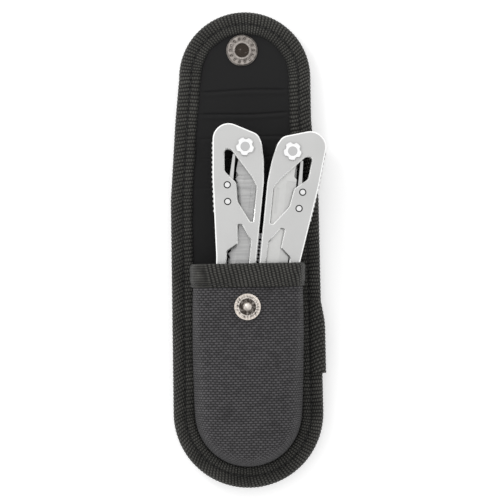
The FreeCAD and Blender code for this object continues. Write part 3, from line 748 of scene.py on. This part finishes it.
def pocket_section(side, y, span):
    """Distances in from the pocket's edge, and heights, from its base over the rounding to its middle."""
    reach, square = pocket_round(side, y)
    angle = np.linspace(0, math.pi / 2, WALL_RINGS)
    inward = reach * (1 - np.cos(angle) ** (2 / square))
    height = POCKET_BASE + (POCKET_TOP - POCKET_BASE) * np.sin(angle) ** (2 / square)
    flat = reach + (span - reach) * np.linspace(0, 1, FLAT_RINGS + 1)[1:]
    inward = np.concatenate([inward, flat])
    height = np.concatenate([height, np.full(FLAT_RINGS, POCKET_TOP)])
    return resampled_section(inward, height)


def resampled_section(inward, height):
    points, along = resampled(np.stack([inward, height], axis=1), WALL_RINGS + FLAT_RINGS)
    return points[:, 0], points[:, 1], along[-1] - along


def pocket_cloth():
    """The pocket's front as an open sheet, with a flat pattern's coordinates for its weave."""
    sides = np.linspace(MOUTH_Y, FOOT_CENTRE_Y, 62)
    turns = np.linspace(math.pi, 2 * math.pi, 50)[1:-1]
    stations = [((-pocket_half(-1, y), y), (1, 0), pocket_half(-1, y), -1) for y in sides]
    for angle in turns:
        direction = (math.cos(angle), math.sin(angle))
        edge = (POCKET_FOOT * direction[0], FOOT_CENTRE_Y + POCKET_FOOT * direction[1])
        stations.append((edge, (-direction[0], -direction[1]), POCKET_FOOT, 0))
    stations += [((pocket_half(1, y), y), (-1, 0), pocket_half(1, y), 1) for y in sides[::-1]]
    vertices = []
    uvs = []
    for (x, y), (in_x, in_y), span, side in stations:
        inward, height, to_middle = pocket_section(side or -1, y, span)
        px = x + in_x * inward
        py = y + in_y * inward
        flatness = smooth(4 * MM, 13 * MM, inward)
        ring = np.hypot(px - STUD_X, py - STUD_Y)
        crown = 0.75 * MM * smooth(5.2 * MM, 15 * MM, ring) * smooth(MOUTH_Y - 9 * MM, MOUTH_Y - 22 * MM, py)
        crown -= 0.35 * MM * hump(py, MOUTH_Y - 9.2 * MM, 1.6 * MM)
        ripple = 0.16 * MM * np.sin(px / (5.3 * MM) + py / (13 * MM)) * np.sin(py / (9 * MM) - px / (17 * MM))
        height = height + (crown + ripple * smooth(6 * MM, 9 * MM, ring)) * flatness
        vertices.append(np.stack([px, py, height], axis=1))
        middle = (0, y) if side else (0, FOOT_CENTRE_Y)
        uvs.append(np.stack([middle[0] - in_x * to_middle, middle[1] - in_y * to_middle], axis=1))
    rows, columns = len(stations), WALL_RINGS + FLAT_RINGS
    faces = grid_faces(rows, columns, flip=True)
    return add_mesh("pocket_cloth", np.vstack(vertices), faces, np.vstack(uvs))


SETTLING_FRAMES = 12
SETTLING_CAP = 0.6 * MM
# What holds the cloth while it settles: the seam at its foot, the tape at its mouth and the stud.
SEAM_HOLD = 1.0 * MM
TAPE_HOLD = 8 * MM
STUD_HOLD = 5.6 * MM


def settled(obj, held, frames, cap, enlarged=20.0):
    """Cloth simulation under light pressure, on a larger copy. No point moves inwards or beyond cap."""
    count = len(obj.data.vertices)
    rest = np.zeros(count * 3)
    obj.data.vertices.foreach_get("co", rest)
    rest = rest.reshape(-1, 3)
    large = bpy.data.objects.new("settling", obj.data.copy())
    large.data.vertices.foreach_set("co", (rest * enlarged).ravel())
    bpy.context.scene.collection.objects.link(large)
    group = large.vertex_groups.new(name="pinned")
    group.add(np.flatnonzero(held).tolist(), 1.0, "REPLACE")
    cloth = large.modifiers.new("Cloth", "CLOTH")
    cloth.settings.quality = 6
    cloth.settings.mass = 0.2
    cloth.settings.tension_stiffness = 25
    cloth.settings.compression_stiffness = 12
    cloth.settings.shear_stiffness = 10
    cloth.settings.bending_stiffness = 2.0
    cloth.settings.vertex_group_mass = "pinned"
    cloth.settings.use_pressure = True
    cloth.settings.uniform_pressure_force = 0.25
    cloth.settings.effector_weights.gravity = 0
    cloth.collision_settings.use_collision = False
    scene = bpy.context.scene
    for step in range(1, frames + 1):
        scene.frame_set(step)
    evaluated = large.evaluated_get(bpy.context.evaluated_depsgraph_get())
    moved = np.zeros(count * 3)
    evaluated.data.vertices.foreach_get("co", moved)
    shift = moved.reshape(-1, 3) / enlarged - rest
    outward = np.zeros(count * 3)
    obj.data.vertex_normals.foreach_get("vector", outward)
    outward = outward.reshape(-1, 3)
    along = (shift * outward).sum(axis=1)[:, None]
    shift -= np.minimum(along, 0) * outward
    length = np.linalg.norm(shift, axis=1)[:, None]
    shift *= np.minimum(1, cap / np.maximum(length, 1e-9))
    obj.data.vertices.foreach_set("co", (rest + shift).ravel())
    obj.data.update()
    scene.frame_set(1)
    bpy.data.objects.remove(large)


def pocket_front():
    obj = pocket_cloth()
    # The rows meet along the middle. They are joined first, since the cloth stayed still in the simulation
    # while several of its points lay on one spot.
    add_modifier(obj, "WELD", merge_threshold=0.05 * MM)
    apply_modifiers(obj)
    x, y, z = np.array([v.co for v in obj.data.vertices]).T
    sewn = (z < POCKET_BASE + SEAM_HOLD) | (y > MOUTH_Y - TAPE_HOLD)
    riveted = np.hypot(x - STUD_X, y - STUD_Y) < STUD_HOLD
    settled(obj, sewn | riveted, SETTLING_FRAMES, SETTLING_CAP)
    add_modifier(obj, "SOLIDIFY", thickness=CLOTH_THICK, offset=-1, use_rim=True)
    apply_modifiers(obj)
    return obj


# The mouth tape's section: (how far past the mouth's lip, how far outside the pocket cloth), in mm.
LIP_PROFILE = [
    (-8.0, -1.75), (-3.0, -1.8), (-0.2, -1.75), (0.55, -1.2), (0.85, -0.4), (0.7, 0.35),
    (0.1, 0.8), (-1.2, 0.95), (-3.6, 0.85), (-5.8, 0.95), (-6.9, 0.75), (-7.3, 0.35),
    (-7.7, 0.75), (-8.3, 0.75), (-8.6, 0.4), (-8.6, -0.1),
]
LIP_SAMPLES = 330
# The tape's cords lie flat and close, without relief, from its left foot to here along the lip.
PATCH_END = 22.8 * MM


def lip_arch(y, offset):
    """The pocket's outside at y, from its left foot over the top to its right foot, offset outwards."""
    left_in, left_z, _ = pocket_section(-1, y, pocket_half(-1, y))
    right_in, right_z, _ = pocket_section(1, y, pocket_half(1, y))
    x = np.concatenate([left_in - pocket_half(-1, y), (pocket_half(1, y) - right_in[::-1])[1:]])
    z = np.concatenate([left_z, right_z[::-1][1:]])
    line, along = resampled(np.stack([x, z], axis=1), LIP_SAMPLES)
    return line - right_of(line) * offset, along


def mouth_tape():
    rough = np.array(LIP_PROFILE) * MM
    profile, down = resampled(rough, 44)
    ease(profile)
    slant = 0.22
    columns = []
    uvs = []
    for (past, offset), across in zip(profile, down):
        line, along = lip_arch(MOUTH_Y + past, 0)
        phase = along + slant * past + 0.5 * MM * np.sin(along / (9 * MM))
        rib = np.abs(np.sin(phase / RIB_PITCH * math.pi)) ** 0.7
        smooth_end = smooth(PATCH_END - 3 * MM, PATCH_END, along)
        outside = smooth(-0.6 * MM, 0.3 * MM, offset)
        wave = 0.18 * MM * np.sin(along / (6.5 * MM) + 1.0) * outside
        amount = RIB_HEIGHT * (rib - 0.5) * outside * (0.35 + 0.65 * smooth_end) + wave
        lifted, _ = lip_arch(MOUTH_Y + past, 1.0)
        out = lifted - line
        place = line + out * (offset + amount)[:, None]
        columns.append(np.stack([place[:, 0], np.full(LIP_SAMPLES, MOUTH_Y + past), place[:, 1]], axis=1))
        printed = np.where(phase < PATCH_END, PATCH_END, phase)
        uvs.append(np.stack([np.full(LIP_SAMPLES, across), printed], axis=1))
    rows = len(columns)
    faces = grid_faces(rows, LIP_SAMPLES, wrap_rows=True)
    faces.append(tuple(i * LIP_SAMPLES for i in range(rows)))
    faces.append(tuple((i + 1) * LIP_SAMPLES - 1 for i in reversed(range(rows))))
    return add_mesh("mouth_tape", np.vstack(columns), faces, np.vstack(uvs))


# ---------------------------------------------------------------- belt loop

LOOP_THICK = 1.5 * MM


def belt_strap():
    """Webbing that is sewn to the back at both ends and stands off it between them."""
    half = loop_high.x
    low_y, high_y = loop_low.y, loop_high.y
    top = panel_low.z - LOOP_THICK / 2
    bottom = LOOP_THICK / 2
    pad = 9.5 * MM
    bend = [(0, top), (1.0 * MM, top - 0.5 * MM), (1.4 * MM, top - 2.0 * MM), (1.5 * MM, bottom + 1.8 * MM),
            (2.2 * MM, bottom + 0.5 * MM), (4.0 * MM, bottom)]
    first = [(low_y + pad + y, z) for y, z in bend]
    last = [(high_y - pad - y, z) for y, z in reversed(bend)]
    path = [(low_y + LOOP_THICK / 3, top)] + first + last + [(high_y - LOOP_THICK / 3, top)]
    line, along = resampled(path, 260)
    ease(line, 3)
    out = -right_of(line)
    thick = LOOP_THICK / 2
    across = np.linspace(-1, 1, 19) * (half - 0.4 * MM)
    ring = [(x, thick) for x in across] + [(half, thick * 0.4), (half, -thick * 0.4)]
    ring += [(x, -thick) for x in reversed(across)] + [(-half, -thick * 0.4), (-half, thick * 0.4)]
    vertices = []
    uvs = []
    for (y, z), (out_y, out_z), stop in zip(line, out, along):
        rib = 0.05 * MM * (abs(math.sin(stop / WEBBING_PITCH * math.pi)) - 0.8)
        for x, away in ring:
            reach = away + math.copysign(rib, away) if abs(away) == thick else away
            vertices.append((x, y + out_y * reach, max(z + out_z * reach, 0)))
            uvs.append((x, stop))
    columns = len(ring)
    faces = grid_faces(len(line), columns, wrap_columns=True)
    faces.append(tuple(reversed(range(columns))))
    faces.append(tuple(range((len(line) - 1) * columns, len(line) * columns)))
    return add_mesh("belt_strap", vertices, faces, uvs)


# ---------------------------------------------------------------- stitches


def stitch_rows(name, lines, radius=0.22 * MM, length=2.2 * MM, gap=0.9 * MM):
    """Short rounded threads laid end to end along lines of points, each a little crooked."""
    vertices = []
    faces = []
    sides, rings = 6, 5
    for line in lines:
        whole = np.asarray(line, float)
        along = np.concatenate([[0], np.cumsum(np.linalg.norm(np.diff(whole, axis=0), axis=1))])
        start = gap / 2
        while start + length < along[-1]:
            ends = [np.array([np.interp(stop, along, whole[:, k]) for k in range(3)])
                    for stop in (start, start + length)]
            direction = ends[1] - ends[0]
            direction /= np.linalg.norm(direction)
            sideways = np.cross(direction, (0, 0, 1))
            if np.linalg.norm(sideways) < 0.2:
                sideways = np.cross(direction, (0, 1, 0))
            sideways /= np.linalg.norm(sideways)
            upward = np.cross(sideways, direction)
            crook = random.uniform(-0.12, 0.12) * MM
            first = len(vertices)
            for i in range(rings):
                t = i / (rings - 1)
                swell = math.sin(math.pi * (0.12 + 0.76 * t)) ** 0.5
                centre = ends[0] + (ends[1] - ends[0]) * t + sideways * crook * (2 * t - 1)
                for k in range(sides):
                    angle = 2 * math.pi * k / sides
                    spoke = sideways * math.cos(angle) + upward * math.sin(angle)
                    vertices.append(centre + spoke * radius * swell)
            faces += [tuple(first + i for i in face) for face in grid_faces(rings, sides, wrap_columns=True)]
            faces.append(tuple(first + i for i in reversed(range(sides))))
            faces.append(tuple(first + (rings - 1) * sides + i for i in range(sides)))
            start += length + gap
    return add_mesh(name, vertices, faces)


def binding_seam():
    """The row of stitches that holds the binding, on the upper and the lower face."""
    points, normals, _, _ = pouch_outline(700)
    points = np.vstack([points, points[:1]])
    normals = np.vstack([normals, normals[:1]])
    lines = []
    for inset, z in ((SEAM_INSET, 9.93 * MM), (SEAM_INSET + 0.4 * MM, TAPE_BOTTOM + 0.02 * MM)):
        inside = points - normals * inset
        lines.append(np.column_stack([inside, np.full(len(inside), z)]))
    return stitch_rows("binding_seam", lines)


def mouth_seam():
    past, offset = -7.3 * MM, 0.55 * MM
    line, _ = lip_arch(MOUTH_Y + past, offset)
    row = np.column_stack([line[:, 0], np.full(len(line), MOUTH_Y + past), line[:, 1]])
    return stitch_rows("mouth_seam", [row])


def loop_seams():
    """A box with a cross in it at each end of the belt loop."""
    low_z = panel_low.z - LOOP_THICK
    side = loop_high.x - 2.5 * MM
    ends = [(loop_low.y + 1.5 * MM, loop_low.y + 8.0 * MM), (loop_high.y - 8.0 * MM, loop_high.y - 1.5 * MM)]
    lines = []
    for near, far in ends:
        corners = [(-side, near), (side, near), (side, far), (-side, far)]
        order = [(0, 1), (1, 2), (2, 3), (3, 0), (0, 2), (1, 3)]
        lines += [[(*corners[a], low_z), (*corners[b], low_z)] for a, b in order]
    return stitch_rows("loop_seams", lines)


# ---------------------------------------------------------------- light, floor and camera


def soft_light(name, place, size, power, aim=(0, 0, 0)):
    data = bpy.data.lights.new(name, "AREA")
    data.shape = "DISK"
    data.size = size
    data.energy = power
    lamp = bpy.data.objects.new(name, data)
    lamp.location = place
    lamp.rotation_euler = (Vector(aim) - Vector(place)).to_track_quat("-Z", "Y").to_euler()
    bpy.context.scene.collection.objects.link(lamp)


# Strength of the world's light from its dim side and from its bright side, which looks towards the key lamp.
DIM_SIDE = 0.80
BRIGHT_SIDE = 1.15
FLOOR_GLOW = 0.30


def studio():
    world = bpy.data.worlds.new("studio")
    world.use_nodes = True
    tree = world.node_tree
    direction = tree.nodes.new("ShaderNodeTexCoord").outputs["Generated"]
    toward_key = tree.nodes.new("ShaderNodeVectorMath")
    toward_key.operation = "DOT_PRODUCT"
    tree.links.new(direction, toward_key.inputs[0])
    toward_key.inputs[1].default_value = Vector((-0.62, 0.66, 0.42)).normalized()
    glow = tree.nodes.new("ShaderNodeMapRange")
    tree.links.new(toward_key.outputs["Value"], glow.inputs[0])
    for socket, value in zip(glow.inputs[1:5], (-0.35, 0.95, DIM_SIDE, BRIGHT_SIDE)):
        socket.default_value = value
    background = tree.nodes["Background"]
    background.inputs["Color"].default_value = (1, 1, 1, 1)
    tree.links.new(glow.outputs[0], background.inputs["Strength"])
    bpy.context.scene.world = world
    soft_light("key", (-0.45, 0.50, 0.65), 0.25, 1.2)
    half = 1.5
    corners = [(-half, -half, 0), (half, -half, 0), (half, half, 0), (-half, half, 0)]
    floor = add_mesh("floor", corners, [(0, 1, 2, 3)])
    surface = Surface("pale_floor")
    tone = surface.noise(surface.coords("Object"), 6.0, 2.0)
    color = surface.blend(tone, (0.93, 0.93, 0.93), (0.96, 0.96, 0.96))
    surface.shader.inputs["Emission Color"].default_value = (1, 1, 1, 1)
    surface.shader.inputs["Emission Strength"].default_value = FLOOR_GLOW
    paint(floor, surface.finish(color=color, roughness=0.8, specular=0.1))


CAMERA_DISTANCE = 1.5
VIEW_WIDTH = 0.200
VIEW_SHIFT = 1.78 * MM
VIEW_ROLL = math.radians(1.03)


def photo_camera():
    """Straight above the pouch with a long lens, rolled by the little that the pouch leans in the view."""
    data = bpy.data.cameras.new("camera")
    data.lens = data.sensor_width * CAMERA_DISTANCE / VIEW_WIDTH
    camera = bpy.data.objects.new("camera", data)
    camera.location = (VIEW_SHIFT, 0, CAMERA_DISTANCE + 10 * MM)
    camera.rotation_euler = (0, 0, -VIEW_ROLL)
    bpy.context.scene.collection.objects.link(camera)
    bpy.context.scene.camera = camera
    bpy.context.scene.view_settings.view_transform = "Standard"


# ---------------------------------------------------------------- put together


def flattening(obj):
    """One of the pocket's soft pieces, attached to the pouch's body with a mesh of its own."""
    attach(obj, "pouch")
    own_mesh(obj)
    return obj


def folding(obj):
    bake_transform(obj)
    return obj


def metal_copy(node):
    """A copy of a snap part, attached to the pouch's body like the pocket it is fixed to; the part itself is
    hidden.
    """
    obj = bpy.data.objects.new("soft_" + node, frame["nodes"][node].data.copy())
    bpy.context.scene.collection.objects.link(obj)
    paint(obj, lit_stud_nickel)
    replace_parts(flattening(obj), node)


def dress(obj, material, slot, *nodes):
    paint(obj, material)
    if nodes:
        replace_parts(obj, *nodes)


def pouch():
    tape = folding(edge_binding())
    dress(tape, binding, "binding_tape", "body_binding", "flap_binding")
    seam = folding(binding_seam())
    dress(seam, sewing, "binding_tape")
    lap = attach(overlap_tape(), "pouch")
    dress(lap, binding, "binding_tape", "binding_overlap")
    sheet, area = lining_sheet()
    folding(sheet)
    dress(sheet, lining, "lining", "back_lining", "flap_lining")
    pad = folding(back_pad())
    dress(pad, nylon, "ballistic_nylon", "back_panel", "flap_panel")
    front = flattening(pocket_front())
    dress(front, side_shaded_nylon, "ballistic_nylon", "pocket_front")
    lip = flattening(mouth_tape())
    dress(lip, mouth_binding, "binding_tape", "mouth_binding")
    dress(flattening(mouth_seam()), sewing, "binding_tape")
    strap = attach(belt_strap(), "pouch")
    dress(strap, webbing, "webbing", "belt_loop")
    dress(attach(loop_seams(), "pouch"), sewing, "webbing")
    metal_copy("snap_stud")
    metal_copy("snap_backing")


def tool():
    """The CAD model's own steel parts, each with the finish that its record slot names."""
    finishes = {"handle_steel": handle_steel, "polished_steel": bright_steel, "implement_steel": leaf_steel,
                "plier_steel": jaw_steel, "aged_nickel": shaded_socket_nickel}
    for part in frame["record"]["subparts"]:
        material = finishes.get(part["material_slot"])
        if part["node"] == "knife_blade":
            material = smooth_leaf_steel
        if part["node"].endswith("star_caps"):
            material = star_cap_steel
        if material and part["node"] not in ("snap_stud", "snap_backing"):
            paint(frame["nodes"][part["node"]], material)


pouch()
tool()
studio()
photo_camera()
